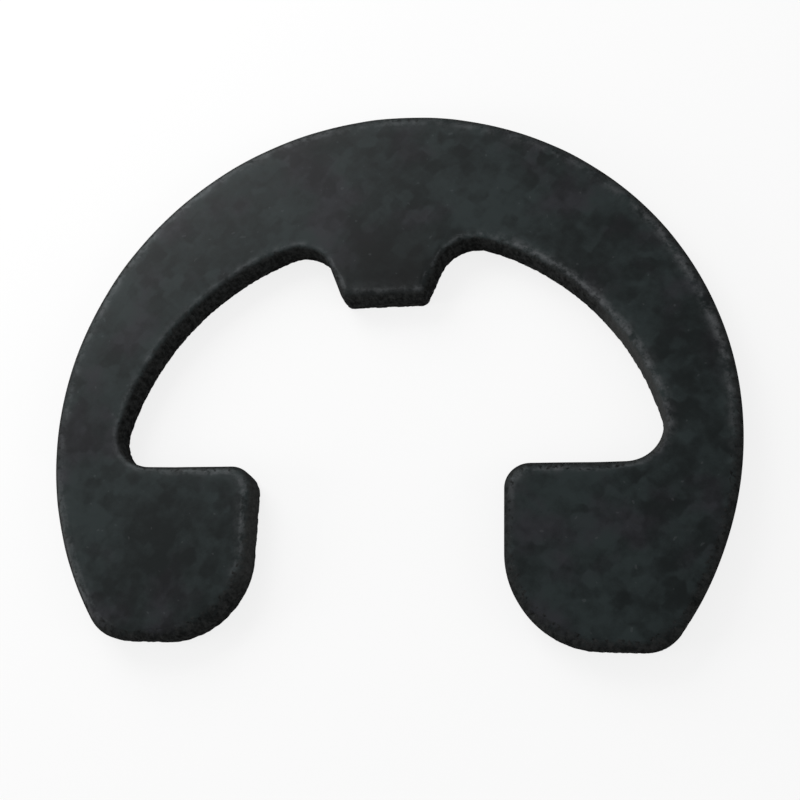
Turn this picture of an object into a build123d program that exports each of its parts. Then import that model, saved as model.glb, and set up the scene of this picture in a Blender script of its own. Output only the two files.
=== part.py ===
from build123d import *
from math import radians, sqrt, tan
import os

# E clip: an open retaining ring, blanked in one piece from hardened spring steel strip.
# It is pushed sideways into a shaft's groove, whose floor it grips at three places: the
# tooth's tip and the upper inner corner of each lug. Millimetres. The groove's axis is Z
# through the origin, the clip lies on its lower face at Z = 0, the tooth and the closed
# back are towards +Y, and the mouth between the two lugs opens towards -Y.

# Driving dimensions
ring_radius = 6.7            # outer edge, 13.4 across
ring_offset = 0.12           # centre of the outer edge, from the groove's axis towards the back
thickness = 0.64             # strip
groove_radius = 2.67         # floor of the shaft's groove
back_width = 2.69            # ring body behind the tooth
arm_width = 1.22             # ring body where an arm meets its lug
arm_arc_offset = 0.22        # centre of an arm's inner arc, from the clip's centre line

tooth_tip_width = 1.66
tooth_flank_angle = 22       # degrees, from the clip's centre line
tooth_tip_radius = 0.18
tooth_root_radius = 0.75

lug_depth = 0.76             # upper edge of a lug, below the groove's axis
lug_length = 3.34            # upper edge to foot
lug_corner_radius = 0.47     # upper inner corner, which bears on the groove's floor
lug_heel_radius = 1.65       # lower inner corner, which leads the shaft into the mouth
lug_toe_radius = 0.8         # lower outer corner
lug_root_radius = 0.71       # inside corner between a lug and its arm

upper_edge_radius = 0.16     # drawn in by the blanking die
lower_edge_radius = 0.04     # tumbled


def outer_x(y):
    """Distance of the outer edge from the centre line, at height y."""
    return sqrt(ring_radius ** 2 - (y - ring_offset) ** 2)


# Heights, and half widths from the centre line
tooth_tip = groove_radius
cavity_top = ring_offset + ring_radius - back_width
lug_top = -lug_depth
lug_foot = lug_top - lug_length
lug_root_x = outer_x(lug_top) - arm_width
lug_toe_x = outer_x(lug_foot)

# Each lug's upper inner corner touches the groove's floor, which sets the mouth's width
corner_reach = groove_radius + lug_corner_radius
mouth_x = sqrt(corner_reach ** 2 - (lug_depth + lug_corner_radius) ** 2) - lug_corner_radius

# An arm's inner arc runs from the centre line behind the tooth to the lug's root
arc_rise = cavity_top ** 2 - lug_top ** 2 - lug_root_x ** 2 + 2 * arm_arc_offset * lug_root_x
arc_y = arc_rise / (2 * (cavity_top - lug_top))
arc_radius = sqrt(arm_arc_offset ** 2 + (cavity_top - arc_y) ** 2)


def block(x, y, width, height):
    """A rectangle with its lower left corner at (x, y)."""
    return Pos(x, y) * Rectangle(width, height, align=(Align.MIN, Align.MIN))


def half_ring():
    """The right half of the ring with its lug, cut to the foot, the mouth and the cavity."""
    room = 2 * ring_radius
    body = Pos(0, ring_offset) * Circle(ring_radius) & block(0, lug_foot, room, room)
    cavity = Pos(arm_arc_offset, arc_y) * Circle(arc_radius) & block(0, lug_top, room, room)
    mouth = block(0, lug_foot, mouth_x, lug_length)
    return body - cavity - mouth


def half_outline():
    """The right half of the clip's outline: ring, lug and half the tooth, with rounded corners."""
    tooth_root = arc_y + arc_radius
    tip_x = tooth_tip_width / 2
    root_x = tip_x + (tooth_root - tooth_tip) * tan(radians(tooth_flank_angle))
    tooth = Polygon((0, tooth_tip), (tip_x, tooth_tip), (root_x, tooth_root), (0, tooth_root), align=None)
    half = half_ring() + tooth

    # The larger corners give way where their walls are short
    foot_width = lug_toe_x - mouth_x
    root_radius = min(tooth_root_radius, 0.52 * (cavity_top - tooth_tip))
    heel_radius = min(lug_heel_radius, 0.6 * foot_width)
    toe_radius = min(lug_toe_radius, 0.4 * foot_width)
    corners = [
        (tip_x, tooth_tip, tooth_tip_radius),
        (root_x, tooth_root, root_radius),
        (lug_root_x, lug_top, lug_root_radius),
        (mouth_x, lug_top, lug_corner_radius),
        (mouth_x, lug_foot, heel_radius),
        (lug_toe_x, lug_foot, toe_radius),
    ]
    for x, y, radius in corners:
        half = fillet(half.vertices().sort_by_distance((x, y))[0], radius)
    return half


def e_clip():
    """The blank, with the edges of its two faces rounded."""
    half = half_outline()
    blank = extrude(half + mirror(half, about=Plane.YZ), thickness)

    # The upper rounding stays inside the tooth's corners, the sharpest that it turns
    upper_radius = min(upper_edge_radius, 0.9 * tooth_tip_radius)
    blank = fillet(blank.faces().sort_by(Axis.Z)[-1].edges(), upper_radius)
    return fillet(blank.faces().sort_by(Axis.Z)[0].edges(), lower_edge_radius)


os.makedirs("parts", exist_ok=True)
export_step(e_clip(), "parts/e_clip.step")
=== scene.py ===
from math import atan2, cos, degrees, pi, radians, sin, sqrt

import bpy
import numpy as np
from mathutils import Matrix, Vector


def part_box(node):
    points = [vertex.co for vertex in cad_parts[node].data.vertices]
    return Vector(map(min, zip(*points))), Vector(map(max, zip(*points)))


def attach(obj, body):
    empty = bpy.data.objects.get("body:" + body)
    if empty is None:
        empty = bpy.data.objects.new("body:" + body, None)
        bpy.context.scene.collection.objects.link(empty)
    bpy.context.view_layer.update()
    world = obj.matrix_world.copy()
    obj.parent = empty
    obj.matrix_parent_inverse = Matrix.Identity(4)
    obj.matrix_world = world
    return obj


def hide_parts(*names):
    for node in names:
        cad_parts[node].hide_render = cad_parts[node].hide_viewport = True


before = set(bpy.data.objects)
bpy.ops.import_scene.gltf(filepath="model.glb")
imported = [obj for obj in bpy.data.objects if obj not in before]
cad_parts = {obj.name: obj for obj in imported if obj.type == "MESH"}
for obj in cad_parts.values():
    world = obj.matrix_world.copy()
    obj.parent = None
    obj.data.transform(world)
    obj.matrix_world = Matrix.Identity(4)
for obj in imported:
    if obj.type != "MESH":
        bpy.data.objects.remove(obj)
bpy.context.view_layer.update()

millimetre = 0.001

# ------------------------------------------------------------------ The clip
# An e clip is one stamping of hardened spring steel strip. The die draws its upper edge
# in, shears the wall smooth and tears the last of it; tumbling then breaks the edges, and
# a hot bath blackens them. Nothing fixes it: it grips the floor of a shaft's groove.

low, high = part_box("e_clip")
ring_radius = high.x                        # outer edge
ring_offset = high.y - ring_radius          # its centre, from the groove's axis to the back
thickness = high.z
lug_foot = low.y
groove_radius = 2.67 * millimetre           # floor of the shaft's groove
back_width = 2.69 * millimetre
arm_width = 1.22 * millimetre               # where an arm meets its lug
arm_arc_offset = 0.22 * millimetre          # centre of an arm's inner arc, from the middle
tooth_half_width = 0.83 * millimetre        # at its tip
tooth_flank_angle = 22                      # degrees, from the clip's centre line
tooth_tip_radius = 0.18 * millimetre
tooth_root_radius = 0.75 * millimetre
lug_top = -0.76 * millimetre                # below the groove's axis
lug_corner_radius = 0.47 * millimetre       # upper inner corner, which bears on the groove
lug_heel_radius = 1.65 * millimetre         # lower inner corner
lug_toe_radius = 0.8 * millimetre           # lower outer corner
lug_root_radius = 0.71 * millimetre         # between a lug and its arm

roll_width = 0.17 * millimetre              # the die draws a straight upper edge in by this,
roll_gain = 0.35                            # by this share more on a bend, and less in a hollow,
roll_bend = 3 * millimetre                  # for bends tighter than about this radius,
roll_slope = 0.62                           # and down by this share of it;
roll_wander = 0.06                          # it is uneven by this share
corner_share = 0.9                          # of a sharp corner's radius, most that rolls in
lower_edge_radius = 0.04 * millimetre
sink_depth = 0.008 * millimetre             # the face sinks by this towards its edges
sink_reach = 0.25 * millimetre
rim_reach = 0.05 * millimetre               # how far onto the face the rim reaches, where tumbling wears the film and a painted highlight lightens it
tear_height = 0.2 * millimetre              # the wall is torn from the lower face to here,
tear_wander = 0.035 * millimetre            # more or less,
tear_depth = 0.012 * millimetre             # and stands back by this,
tear_roughness = 0.007 * millimetre         # more or less
tear_blend = 0.04 * millimetre              # height over which it runs out
tooth_shade_middle = (0, 2.9, 0.64)               # in millimetres: painted shade darkens the film most here, a painted highlight and wear light its rim most on the right arm, painted shade keeps the rim dark on the right lug and the left lug's foot; painted light lightens the wall inside the right arm, and the wall and rim on the left lug, in the mouth
arm_highlight_middle = (3.9, 1.5, 0.64)            # its rim is rubbed brightest on the right arm
lug_shade_middle = (5.2, -3.2, 0.64)            # and still black on the right lug
foot_shade_middle = (-3.4, -4.0, 0.64)            # and the left lug's foot;
lit_wall_middle = (4.8, 0.8, 0.3)              # the wall is rubbed inside the right arm
lit_mouth_middle = (-2.4, -2.0, 0.3)            # and on the left lug, in the mouth


def outline_arcs():
    """The arcs round the right half, in four lists that run from the centre line to the
    lug's foot: outside and inside of the back and arm, then outside and inside of the lug.
    An arc is centre x, centre y, radius, first and last angle. A radius under 0 is a
    hollow's, and straight edges join one arc to the next. Each rounding's centre stands a
    radius from both edges it meets, and its angles are those of the lines square to them."""
    cavity_top = ring_offset + ring_radius - back_width
    lug_root_x = sqrt(ring_radius ** 2 - (lug_top - ring_offset) ** 2) - arm_width
    rise = cavity_top ** 2 - lug_top ** 2 - lug_root_x ** 2 + 2 * arm_arc_offset * lug_root_x
    arc_y = rise / (2 * (cavity_top - lug_top))
    arc_radius = sqrt(arm_arc_offset ** 2 + (cavity_top - arc_y) ** 2)
    corner_reach = groove_radius + lug_corner_radius
    corner_y = lug_top - lug_corner_radius
    corner_x = sqrt(corner_reach ** 2 - corner_y ** 2)
    mouth_x = corner_x - lug_corner_radius

    toe_y = lug_foot + lug_toe_radius
    toe_x = sqrt((ring_radius - lug_toe_radius) ** 2 - (toe_y - ring_offset) ** 2)
    toe_angle = degrees(atan2(toe_y - ring_offset, toe_x))
    heel_x = mouth_x + lug_heel_radius
    heel_y = lug_foot + lug_heel_radius
    waist_angle = degrees(atan2(lug_top - ring_offset, ring_radius))

    root_y = lug_top + lug_root_radius
    root_x = arm_arc_offset + sqrt((arc_radius - lug_root_radius) ** 2 - (root_y - arc_y) ** 2)
    root_angle = degrees(atan2(root_y - arc_y, root_x - arm_arc_offset))
    root_middle = (root_angle - 90) / 2

    flank = radians(tooth_flank_angle)
    tip_y = groove_radius + tooth_tip_radius
    tip_x = tooth_half_width + tooth_tip_radius * (sin(flank) - 1) / cos(flank)
    start_x = tooth_half_width + tooth_root_radius * cos(flank) - arm_arc_offset
    start_y = groove_radius - tooth_root_radius * sin(flank) - arc_y
    back = start_x * sin(flank) + start_y * cos(flank)
    left = start_x ** 2 + start_y ** 2 - (arc_radius - tooth_root_radius) ** 2
    climb = sqrt(back ** 2 - left) - back
    tooth_root_x = arm_arc_offset + start_x + climb * sin(flank)
    tooth_root_y = arc_y + start_y + climb * cos(flank)
    hollow_angle = degrees(atan2(tooth_root_y - arc_y, tooth_root_x - arm_arc_offset))

    arm_outside = [(0, ring_offset, ring_radius, 90, waist_angle)]
    arm_inside = [
        (0, groove_radius, 0, -90, -90),
        (tip_x, tip_y, tooth_tip_radius, -90, -tooth_flank_angle),
        (tooth_root_x, tooth_root_y, -tooth_root_radius, 180 - tooth_flank_angle, hollow_angle),
        (arm_arc_offset, arc_y, -arc_radius, hollow_angle, root_angle),
        (root_x, root_y, -lug_root_radius, root_angle, root_middle),
    ]
    lug_outside = [
        (0, ring_offset, ring_radius, waist_angle, toe_angle),
        (toe_x, toe_y, lug_toe_radius, toe_angle, -90),
        (heel_x, lug_foot, 0, -90, -90),
    ]
    lug_inside = [
        (root_x, root_y, -lug_root_radius, root_middle, -90),
        (corner_x, corner_y, lug_corner_radius, 90, 180),
        (heel_x, heel_y, lug_heel_radius, 180, 270),
    ]
    return arm_outside, arm_inside, lug_outside, lug_inside


def trace(arcs, steps):
    """Equal steps along arcs and the straight edges between them, as rows of x, y and the
    outward normal. A point is the arc's centre plus its radius along the ray at an angle;
    the normal is that ray, turned round in a hollow. The lengths between close points are
    added up, and each column is read off at equal shares of the whole."""
    runs = []
    for x, y, radius, first, last in arcs:
        angle = np.radians(np.linspace(first, last, 2 + int(4 * abs(last - first))))
        ray = np.column_stack([np.cos(angle), np.sin(angle)])
        runs.append(np.hstack([[x, y] + abs(radius) * ray, np.copysign(1, radius) * ray]))
    path = np.vstack(runs)
    length = np.append(0, np.cumsum(np.hypot(*np.diff(path[:, :2], axis=0).T)))
    share = np.linspace(0, length[-1], steps + 1)
    return np.column_stack([np.interp(share, length, column) for column in path.T])


def clip_edges(arm_steps=300, lug_steps=170):
    """The outer and inner edge, each from the right lug's foot over the back to the left
    one's, with as many points as the other: the arm's steps and the lug's come one after
    the other, and the left half is the right half with x turned round."""
    arm_outside, arm_inside, lug_outside, lug_inside = outline_arcs()
    edges = []
    for arm, lug in ((arm_outside, lug_outside), (arm_inside, lug_inside)):
        right = np.vstack([trace(arm, arm_steps), trace(lug, lug_steps)[1:]])
        left = right[1:] * [-1, 1, -1, 1]
        edges.append(np.vstack([right[::-1], left]))
    return edges


def unevenness(rows, columns, waves, seed):
    """Random heights round a closed edge, with a spread of 1: white noise whose waves
    fade, as a bell curve, past a number of waves to the round."""
    noise = np.random.default_rng(seed).normal(size=(rows, columns))
    number = np.arange(columns // 2 + 1)
    smooth = np.fft.irfft(np.fft.rfft(noise) * np.exp(-(number / waves) ** 2), columns)
    return smooth / smooth.std()


def roll_widths(edge):
    """How far the die draws in each place round an edge: the straight edge's width times
    1 + gain times the hyperbolic tangent of the bend, and no more than a share of the
    sharpest outward corner's radius near it, evened out along the edge. A bend is the turn
    of the normal from one place to the next over the way between them."""
    ahead = np.roll(edge, -1, axis=0)
    turn = edge[:, 2] * ahead[:, 3] - edge[:, 3] * ahead[:, 2]
    bend = turn / np.hypot(*(ahead - edge)[:, :2].T)
    width = roll_width * (1 + roll_gain * np.tanh(bend * roll_bend))
    width = np.minimum(width, corner_share / np.maximum(bend, 1 / ring_radius))
    for gather in (np.min, np.mean):
        width = gather([np.roll(width, shift) for shift in range(-6, 7)], axis=0)
    return width


def step(value):
    """0 below 0, 1 above 1, and 3 v squared - 2 v cubed between them."""
    value = np.clip(value, 0, 1)
    return value * value * (3 - 2 * value)


def wall_section(widths):
    """Inset from the outline, height, and share of wall, tear and rim, each a grid of
    section places by edge places. The section is a quarter circle at the lower edge, a
    straight wall and a quarter ellipse at the upper edge, of the given widths, a little
    uneven. The share of wall there is the cosine of the turn, that of rim its sine to the
    fourth. Below the tear's wandering top the wall stands back, by a depth and a
    roughness, each height's with its neighbours' so that no step shows."""
    count = len(widths)
    flat = np.zeros(count)
    turn = np.radians(np.linspace(0, 90, 5))[:-1, None]
    lower_inset = lower_edge_radius * (1 - np.sin(turn)) + flat
    lower_height = lower_edge_radius * (1 - np.cos(turn)) + flat

    width = widths * (1 + roll_wander * np.tanh(unevenness(1, count, waves=60, seed=3)))
    drop = roll_slope * width
    top = thickness - sink_depth
    turn = np.radians(np.linspace(0, 90, 15))[:, None]
    upper_inset = width * (1 - np.cos(turn))
    upper_height = top - drop * (1 - np.sin(turn))
    upper_wall = np.cos(turn) + flat
    upper_rim = np.sin(turn) ** 4 + flat

    rise = np.linspace(0, 1, 19)[:-1, None]
    wall_height = lower_edge_radius + rise * (top - drop - lower_edge_radius)

    inset = np.vstack([lower_inset, np.zeros_like(wall_height), upper_inset])
    height = np.vstack([lower_height, wall_height, upper_height])
    below = np.zeros((len(height) - len(upper_wall), count))
    wall = np.vstack([below + 1, upper_wall])
    rim = np.vstack([below, upper_rim])
    tear_top = tear_height + tear_wander * unevenness(1, count, waves=90, seed=5)
    tear = step((tear_top - height) / tear_blend) * wall
    rough = unevenness(len(height), count, waves=600, seed=7)
    rough = (rough[:-2] + rough[1:-1] + rough[2:]) / sqrt(3)
    rough = np.vstack([rough[:1], rough, rough[-1:]])
    inset += tear * (tear_depth + tear_roughness * np.tanh(rough))
    return inset, height, wall, tear, rim


def ribbon(outside, inside, columns):
    """Places across a face between its outer and inner edge: outside + (inside - outside)
    times a share that is (1 - cosine) / 2, so that columns crowd towards both edges."""
    share = (1 - np.cos(np.linspace(0, pi, columns + 1)[1:-1])) / 2
    share = share[None, :, None]
    return outside[:, None] * (1 - share) + inside[:, None] * share


def clip_mesh(columns=12):
    """The wall is the section carried round the outline: a point is the edge's less the
    inset along its normal, at the section's height. Each face is a ribbon of straight
    ribs from its outer to its inner edge that narrows to one point at each lug's foot,
    and the upper one sinks towards its edges as an exponential of the way to them."""
    outside, inside = clip_edges()
    last = len(outside) - 1
    edge = np.vstack([outside, inside[-2:0:-1]])
    count = len(edge)
    inset, height, wall, tear, rim = wall_section(roll_widths(edge))
    rings = len(height)
    x = edge[:, 0] - inset * edge[:, 2]
    y = edge[:, 1] - inset * edge[:, 3]
    points = [np.stack([x, y, height], axis=-1).reshape(-1, 3)]
    finish = [np.stack([wall, tear, rim], axis=-1).reshape(-1, 3)]

    ring = np.arange(rings)[:, None] * count
    here = ring + np.arange(count)
    after = ring + np.roll(np.arange(count), -1)
    quads = [np.stack([here[:-1], after[:-1], after[1:], here[1:]], -1)]
    triangles = []
    made = rings * count
    for number, side in ((0, -1), (rings - 1, 1)):
        place = points[0][number * count:(number + 1) * count]
        outer = place[:last + 1]
        inner = place[np.append(0, np.arange(count - 1, last - 1, -1))]
        between = ribbon(outer, inner, columns)[1:-1]
        width = np.linalg.norm(outer - inner, axis=1)[1:-1, None]
        way = np.minimum(np.linalg.norm(between - outer[1:-1, None], axis=2),
                         np.linalg.norm(between - inner[1:-1, None], axis=2))
        if side > 0:
            between[..., 2] = thickness - sink_depth * np.exp(-way / sink_reach)
        points.append(between.reshape(-1, 3))
        shares = np.zeros_like(between)
        if side > 0:
            shares[..., 2] = np.exp(-way / rim_reach)
        finish.append(shares.reshape(-1, 3))

        index = np.zeros((last + 1, columns + 1), int)
        index[1:-1, 1:-1] = made + np.arange((last - 1) * (columns - 1)).reshape(last - 1, -1)
        made += (last - 1) * (columns - 1)
        index[:, 0] = number * count + np.arange(last + 1)
        index[:, -1] = number * count + (count - np.arange(last + 1)) % count
        index[0] = number * count
        index[-1] = number * count + last
        index = index[::-side]              # so that both faces look outward
        a, b, c, d = index[:-1, :-1], index[:-1, 1:], index[1:, 1:], index[1:, :-1]
        corners = np.stack([a, b, c, d], -1)
        quads.append(corners[1:-1])         # the ribbon's two ends close on one point each
        triangles.append(corners[0][:, [0, 2, 3]])
        triangles.append(corners[-1][:, [0, 1, 2]])

    quads = np.vstack([q.reshape(-1, 4) for q in quads])
    triangles = np.vstack(triangles)
    mesh = bpy.data.meshes.new("spring_steel_clip")
    mesh.from_pydata(np.vstack(points), [], quads.tolist() + triangles.tolist())
    mesh.shade_smooth()
    shares = mesh.attributes.new("finish", "FLOAT_VECTOR", "POINT")
    shares.data.foreach_set("vector", np.vstack(finish).ravel())
    return mesh


class Wire:
    """One output of a material's nodes. Sums, products and the rest of wires and numbers
    add Math nodes, and node() adds any other kind."""

    def __init__(self, socket):
        self.socket = socket

    def node(self, kind, inputs, output=None, **settings):
        """Adds a node, sets its settings, then its inputs by name or number, and wraps the
        output of that name, or the first one."""
        made = self.socket.id_data.nodes.new(kind)
        for name, value in settings.items():
            setattr(made, name, value)
        for name, value in inputs.items():
            socket = made.inputs[name] if isinstance(name, int) else next(
                s for s in made.inputs if s.name == name and s.enabled)
            if isinstance(value, Wire):
                self.socket.id_data.links.new(value.socket, socket)
            else:
                socket.default_value = value
        found = [s for s in made.outputs if s.enabled and output in (s.name, None)]
        return Wire(found[0])

    def math(self, operation, *values):
        return self.node("ShaderNodeMath", dict(enumerate(values)), operation=operation)

    def __add__(self, other):
        return self.math("ADD", self, other)

    def __sub__(self, other):
        return self.math("SUBTRACT", self, other)

    def __rsub__(self, other):
        return self.math("SUBTRACT", other, self)

    def __mul__(self, other):
        return self.math("MULTIPLY", self, other)

    __radd__ = __add__
    __rmul__ = __mul__


def new_material(name):
    material = bpy.data.materials.new(name)
    material.use_nodes = True
    tree = material.node_tree
    tree.nodes.clear()
    start = Wire(tree.nodes.new("ShaderNodeTexCoord").outputs["Object"])
    return material, start


def set_surface(start, shader):
    output = start.socket.id_data.nodes.new("ShaderNodeOutputMaterial")
    start.socket.id_data.links.new(shader.socket, output.inputs["Surface"])


def noise(place, scale, detail=2.0, roughness=0.5):
    """Smooth random values about 0.5, with this many waves to the millimetre."""
    return place.node("ShaderNodeTexNoise", {"Vector": place, "Scale": scale, "Detail": detail,
                                             "Roughness": roughness}, "Fac")


def ramp_between(wire, low_value, high_value):
    """0 below the low value, 1 above the high one, smooth between them."""
    return wire.node("ShaderNodeMapRange", {"Value": wire, "From Min": low_value,
                                            "From Max": high_value}, interpolation_type="SMOOTHSTEP")


def mix_colour(share, first, second):
    return share.node("ShaderNodeMix", {"Factor": share, "A": first, "B": second}, "Result",
                      data_type="RGBA")


def away(place, middle):
    """The distance from a place to a middle."""
    return place.node("ShaderNodeVectorMath", {0: place, 1: middle}, "Value", operation="DISTANCE")


def black_oxide():
    """Mottled blackened film on the faces, with painted shade darkening it towards the tooth,
    darker and rougher on the sheared and torn wall. The film wears thin in places along the
    rim, where a painted highlight also lightens it, most on the right arm and in the mouth,
    and painted shade keeps the rim dark on the right lug and the left lug's foot. Painted
    light lightens the wall inside the right arm and in the mouth. Colours are linear, and
    places are in millimetres."""
    material, start = new_material("black_oxide_spring_steel")
    place = start.node("ShaderNodeVectorMath", {0: start, 3: 1 / millimetre}, operation="SCALE")
    finish = start.node("ShaderNodeAttribute", {}, "Vector", attribute_name="finish")
    wall, tear, rim = (finish.node("ShaderNodeSeparateXYZ", {"Vector": finish}, axis) for axis in "XYZ")

    # The film's tone: broad and fine mottling, greenish or violet, and painted shade that darkens it
    # most on the tooth
    shifted = place.node("ShaderNodeMapping", {"Vector": place, "Location": (8.0, 4.0, 0.0)})
    turned = place.node("ShaderNodeMapping", {"Vector": place, "Rotation": (0, 0, radians(40))})
    blotch = noise(place, 0.7, 4.0)
    patch = place.node("ShaderNodeTexVoronoi", {"Vector": turned, "Scale": 3.5, "Smoothness": 0.4},
                       "Color", feature="SMOOTH_F1", distance="CHEBYCHEV")
    cloud = noise(place, 4.5, 4.0, 0.6)
    grain = noise(place, 30.0, 2.0)
    violet = ramp_between(noise(shifted, 0.8, 3.0), 0.5, 0.68)
    # Painted shade: the tone and the dark colour are darkened towards the tooth
    out_of_tooth_shade = ramp_between(away(place, tooth_shade_middle), 0.3, 1.9)
    film = blotch * 0.75 + patch * 0.3 + cloud * 0.35 + grain * 0.1
    shade = ramp_between(film, 0.56, 0.94) * (out_of_tooth_shade * 0.7 + 0.3)
    dark = mix_colour(violet, (0.0040, 0.0066, 0.0068, 1), (0.0054, 0.0059, 0.0073, 1))
    dark = mix_colour(out_of_tooth_shade, (0.0018, 0.0026, 0.0028, 1), dark)
    light = mix_colour(violet, (0.0155, 0.0225, 0.0230, 1), (0.0188, 0.0198, 0.0235, 1))
    face = mix_colour(shade, dark, light)

    # Where the film wears to the steel: patches along the rim, and small nicks, with a painted highlight
    # on the rim, brightest on the right arm and in the mouth, and painted shade keeping the rim dark on
    # the right lug and the left lug's foot
    arm_highlight = 1 - ramp_between(away(place, arm_highlight_middle), 2.2, 3.7)
    off_lug = ramp_between(away(place, lug_shade_middle), 2.0, 5.0)
    painted_rim_shade = 1 - off_lug * ramp_between(away(place, foot_shade_middle), 1.0, 2.4)
    inner = 1 - ramp_between(away(place, lit_wall_middle), 1.0, 1.9)
    mouth = 1 - ramp_between(away(place, lit_mouth_middle), 0.5, 1.6)
    patchy = ramp_between(noise(place, 4.0, 4.0, 0.7), 0.35, 0.7)
    nick = ramp_between(noise(place, 9.0, 0.0), 0.80, 0.84)
    # Painted highlight and painted shade: the rim's lighter wear is raised on the right arm and in the
    # mouth and lowered on the right lug and the left lug's foot
    wear_and_highlight = arm_highlight * 0.6 + mouth * 0.4 + 0.38 - painted_rim_shade * 0.38
    worn_and_highlit = rim * patchy * wear_and_highlight + nick * 0.15
    face = mix_colour(worn_and_highlit, face, (0.11, 0.115, 0.12, 1))
    face_bump = start.node("ShaderNodeBump", {
        "Height": cloud * 0.5 + grain * 0.5, "Distance": 0.0015 * millimetre, "Strength": 1.0}, "Normal")
    face_shader = start.node("ShaderNodeBsdfPrincipled", {
        "Base Color": face, "Roughness": 0.36 + cloud * 0.2, "Metallic": worn_and_highlit, "Normal": face_bump,
        "Specular IOR Level": 0.17}, "BSDF")

    # The wall: upright streaks where it is sheared, specks where it is torn
    squeezed = place.node("ShaderNodeMapping", {"Vector": place, "Scale": (1.0, 1.0, 0.35)})
    streak = noise(squeezed, 12.0, 3.0, 0.6)
    speck = noise(place, 10.0, 4.0, 0.75)
    burnish = mix_colour(ramp_between(streak, 0.36, 0.64),
                         (0.0060, 0.0065, 0.0065, 1), (0.0265, 0.0278, 0.0278, 1))
    broken = mix_colour(ramp_between(speck, 0.36, 0.66),
                        (0.0034, 0.0037, 0.0035, 1), (0.0310, 0.0317, 0.0310, 1))
    side = mix_colour(tear * 0.5 + 0.4, burnish, broken)
    # Painted light: the wall is lightened inside the right arm and in the mouth, where lamps light it
    side = mix_colour(inner * 0.5 + mouth * 0.3, side, (0.055, 0.056, 0.055, 1))
    wall_bump = start.node("ShaderNodeBump", {
        "Height": speck + streak * 0.5, "Distance": 0.02 * millimetre, "Strength": 1.0}, "Normal")
    wall_shader = start.node("ShaderNodeBsdfPrincipled", {
        "Base Color": side, "Roughness": 0.35, "Normal": wall_bump, "Specular IOR Level": 0.0}, "BSDF")

    # Face and wall meet in a ragged line, which beads up onto the rim where painted shade keeps it dark
    bead = ramp_between(noise(shifted, 11.0, 2.0), 0.5, 0.68)
    ragged = (speck - 0.5) * 0.9 + rim * (painted_rim_shade * 0.4 + bead * 0.45)
    cut = ramp_between(wall + ragged, 0.35, 0.95)
    surface = start.node("ShaderNodeMixShader", {0: cut, 1: face_shader, 2: wall_shader}, "Shader")
    set_surface(start, surface)
    return material


clip = bpy.data.objects.new("spring_steel_clip", clip_mesh())
bpy.context.scene.collection.objects.link(clip)
clip.data.materials.append(black_oxide())
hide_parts("e_clip")
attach(clip, "root")

# ----------------------------------------------------------------- The floor
# A plain white sheet of matt card, laid flat on a table, with the clip loose on top of
# it. It isn't part of the object.

floor_side = 120 * ring_radius
floor_gap = 0.001 * millimetre              # under the clip, so that the faces don't meet


def floor_mesh():
    """A square about the origin, just below the clip's lower face."""
    x = np.array([-1, 1, 1, -1]) * floor_side / 2
    y = np.array([-1, -1, 1, 1]) * floor_side / 2
    mesh = bpy.data.meshes.new("floor_card")
    mesh.from_pydata(np.column_stack([x, y, np.full(4, low.z - floor_gap)]), [], [(0, 1, 2, 3)])
    return mesh


def white_card():
    """Matt card that the camera, gloss and glass see as mostly white of its own; the rest
    of what they see keeps the clip's shadow."""
    own_white = 0.8
    material, start = new_material("white_card")
    card = start.node("ShaderNodeBsdfDiffuse", {"Color": (0.9, 0.9, 0.9, 1)}, "BSDF")
    white = start.node("ShaderNodeEmission", {"Color": (1, 1, 1, 1), "Strength": 1.0}, "Emission")
    camera_ray = start.node("ShaderNodeLightPath", {}, "Is Camera Ray")
    glossy_ray = start.node("ShaderNodeLightPath", {}, "Is Glossy Ray")
    glass_ray = start.node("ShaderNodeLightPath", {}, "Is Transmission Ray")
    seen = (camera_ray + glossy_ray + glass_ray) * own_white
    surface = start.node("ShaderNodeMixShader", {0: seen, 1: card, 2: white}, "Shader")
    set_surface(start, surface)
    return material


floor = bpy.data.objects.new("floor_card", floor_mesh())
bpy.context.scene.collection.objects.link(floor)
floor.data.materials.append(white_card())

# ----------------------------------------------------------------- The light
# A pale room with one large soft lamp behind the clip and to the left, and a smaller one
# low on each side. The lamps hang free, and the camera doesn't see them.

room_light = 0.45                           # what the clip sees; the camera sees white

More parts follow.
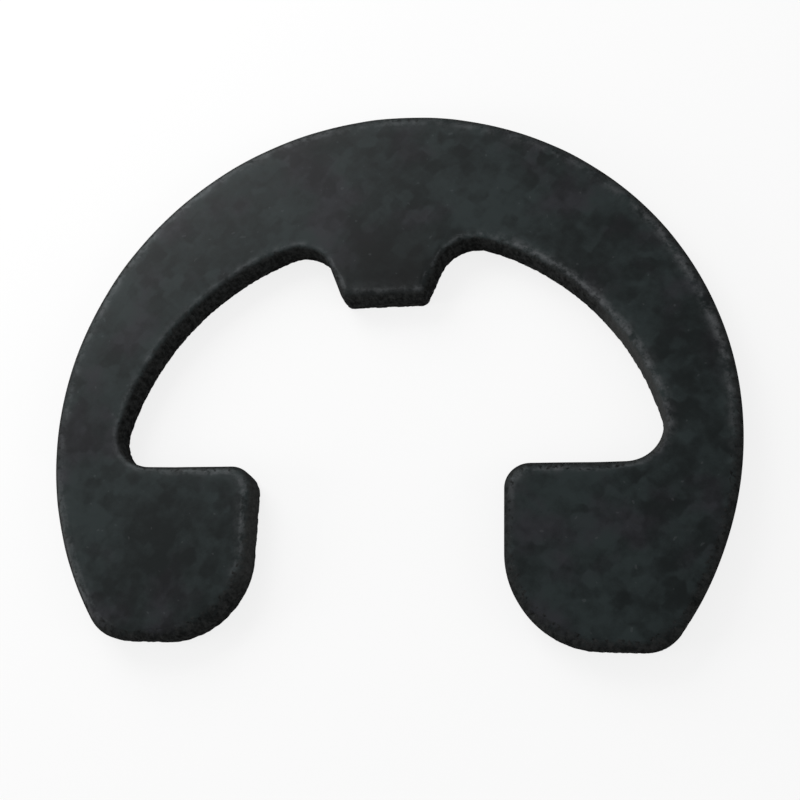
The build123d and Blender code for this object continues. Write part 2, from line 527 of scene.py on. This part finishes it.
def softbox(name, azimuth, elevation, distance, side, radiance):
    """A square lamp that faces the origin. Its power is pi times its area times the
    radiance that a surface sees."""
    lamp = bpy.data.lights.new(name, "AREA")
    lamp.shape = "SQUARE"
    lamp.size = side
    lamp.energy = pi * side ** 2 * radiance
    around = radians(azimuth)
    above = radians(elevation)
    way = Vector((sin(around) * cos(above), -cos(around) * cos(above), sin(above)))
    facing = way.to_track_quat("Z", "Y").to_matrix().to_4x4()
    holder = bpy.data.objects.new(name, lamp)
    holder.matrix_world = Matrix.Translation(way * distance) @ facing
    holder.visible_camera = False
    bpy.context.scene.collection.objects.link(holder)


softbox("key_lamp", azimuth=-142, elevation=33,
        distance=44 * millimetre, side=30 * millimetre, radiance=4.6)
softbox("side_lamp", azimuth=80, elevation=25,
        distance=60 * millimetre, side=25 * millimetre, radiance=2.4)
softbox("low_lamp", azimuth=-80, elevation=14,
        distance=60 * millimetre, side=25 * millimetre, radiance=7.5)

world = bpy.data.worlds.new("pale_room")
world.use_nodes = True
background = world.node_tree.nodes["Background"]
background.inputs["Color"].default_value = (1, 1, 1, 1)
seen = Wire(world.node_tree.nodes.new("ShaderNodeLightPath").outputs["Is Camera Ray"])
strength = seen * (1 - room_light) + room_light
world.node_tree.links.new(strength.socket, background.inputs["Strength"])
bpy.context.scene.world = world

# ---------------------------------------------------------------- The camera
# It stands free, and looks steeply down on the clip from the right of the mouth, turned
# about its own axis so that the clip's back is at the top.

azimuth = radians(33.2)
elevation = radians(65.0)
roll = radians(-32.8)
aim = Vector((-0.98, 2.02, 0)) * millimetre
distance = 24.52 * millimetre

back = Vector((sin(azimuth) * cos(elevation), -cos(azimuth) * cos(elevation), sin(elevation)))
level = Vector((cos(azimuth), sin(azimuth), 0))
right = cos(roll) * level + sin(roll) * back.cross(level)
up = back.cross(right)
lens = bpy.data.cameras.new("camera")
lens.sensor_width = 36
lens.lens = 54
lens.shift_x = 0.075
lens.shift_y = -0.075
lens.clip_start = millimetre
lens.clip_end = 10
camera = bpy.data.objects.new("camera", lens)
facing = Matrix((right, up, back)).transposed().to_4x4()
camera.matrix_world = Matrix.Translation(aim + distance * back) @ facing
bpy.context.scene.collection.objects.link(camera)
bpy.context.scene.camera = camera
bpy.context.scene.view_settings.view_transform = "Standard"
